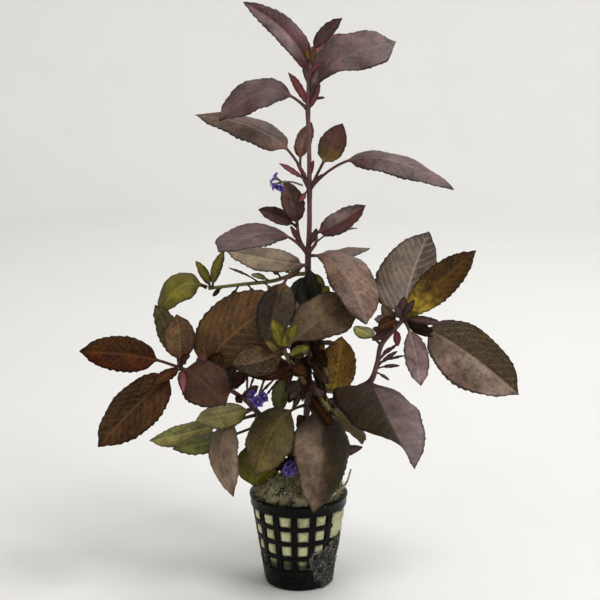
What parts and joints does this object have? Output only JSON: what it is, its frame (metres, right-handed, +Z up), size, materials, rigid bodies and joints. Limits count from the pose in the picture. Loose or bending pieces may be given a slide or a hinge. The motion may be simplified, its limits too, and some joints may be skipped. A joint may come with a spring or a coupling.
{
  "type": "potted aquarium plant",
  "caption": "Giant hygrophila grown above water: reddish branching stems with purple-brown and olive leaves and small violet flowers, in a net pot of rockwool.",
  "frame": {"origin": "centre of the net pot's flat underside", "axes": "+Z up along the main stem, -Y toward the side the picture shows, +X to the right of that view"},
  "size_m": [0.2135, 0.128, 0.2945],
  "materials": {
    "black_plastic": "moulded black plastic with a soft gloss",
    "mineral_wool": "damp pale yellow-grey mineral wool with dark algae patches",
    "stem_skin": "smooth reddish brown stem",
    "leaf_skin": "soft sheen, purple-brown to olive, with paler veins",
    "petal": "matt violet petals"
  },
  "bodies": {
    "root": {"net_pot": "black_plastic", "rockwool": "mineral_wool", "stem_main": "stem_skin", "stem_right": "stem_skin", "stem_left": "stem_skin", "stem_green": "stem_skin", "stem_front": "stem_skin", "stem_axil_left": "stem_skin", "stem_axil_right": "stem_skin", "leaf_crown_left": "leaf_skin", "leaf_crown_back": "leaf_skin", "leaf_crown_right": "leaf_skin", "leaf_upper_right": "leaf_skin", "leaf_upper_left": "leaf_skin", "leaf_third_left": "leaf_skin", "leaf_third_right": "leaf_skin", "leaf_axil_red": "leaf_skin", "leaf_axil_green": "leaf_skin", "leaf_second_back": "leaf_skin", "leaf_second_left": "leaf_skin", "leaf_second_right": "leaf_skin", "leaf_second_hook": "leaf_skin", "leaf_first_left": "leaf_skin", "leaf_first_right": "leaf_skin", "leaf_first_back": "leaf_skin", "leaf_under_left": "leaf_skin", "leaf_under_front": "leaf_skin", "leaf_under_right": "leaf_skin", "leaf_right_up": "leaf_skin", "leaf_right_gold": "leaf_skin", "leaf_right_out": "leaf_skin", "leaf_right_hang": "leaf_skin", "leaf_right_fork": "leaf_skin", "leaf_left_out": "leaf_skin", "leaf_left_down": "leaf_skin", "leaf_left_front": "leaf_skin", "leaf_left_narrow": "leaf_skin", "leaf_left_upright": "leaf_skin", "leaf_left_broad": "leaf_skin", "leaf_green_curl": "leaf_skin", "leaf_front_left": "leaf_skin", "leaf_front_right": "leaf_skin", "leaf_right_pale": "leaf_skin", "leaf_low_orange": "leaf_skin", "leaf_low_small": "leaf_skin", "leaf_low_left": "leaf_skin", "leaf_low_front": "leaf_skin", "leaf_low_hang": "leaf_skin", "leaf_green_long": "leaf_skin", "leaf_green_low": "leaf_skin", "leaf_green_short": "leaf_skin", "leaf_low_green": "leaf_skin", "leaf_low_back": "leaf_skin", "leaf_back_left": "leaf_skin", "leaf_back_right": "leaf_skin", "leaf_back_middle": "leaf_skin", "flower_upper": "petal", "flower_middle": "petal", "flower_low": "petal"}
  },
  "joints": []
}
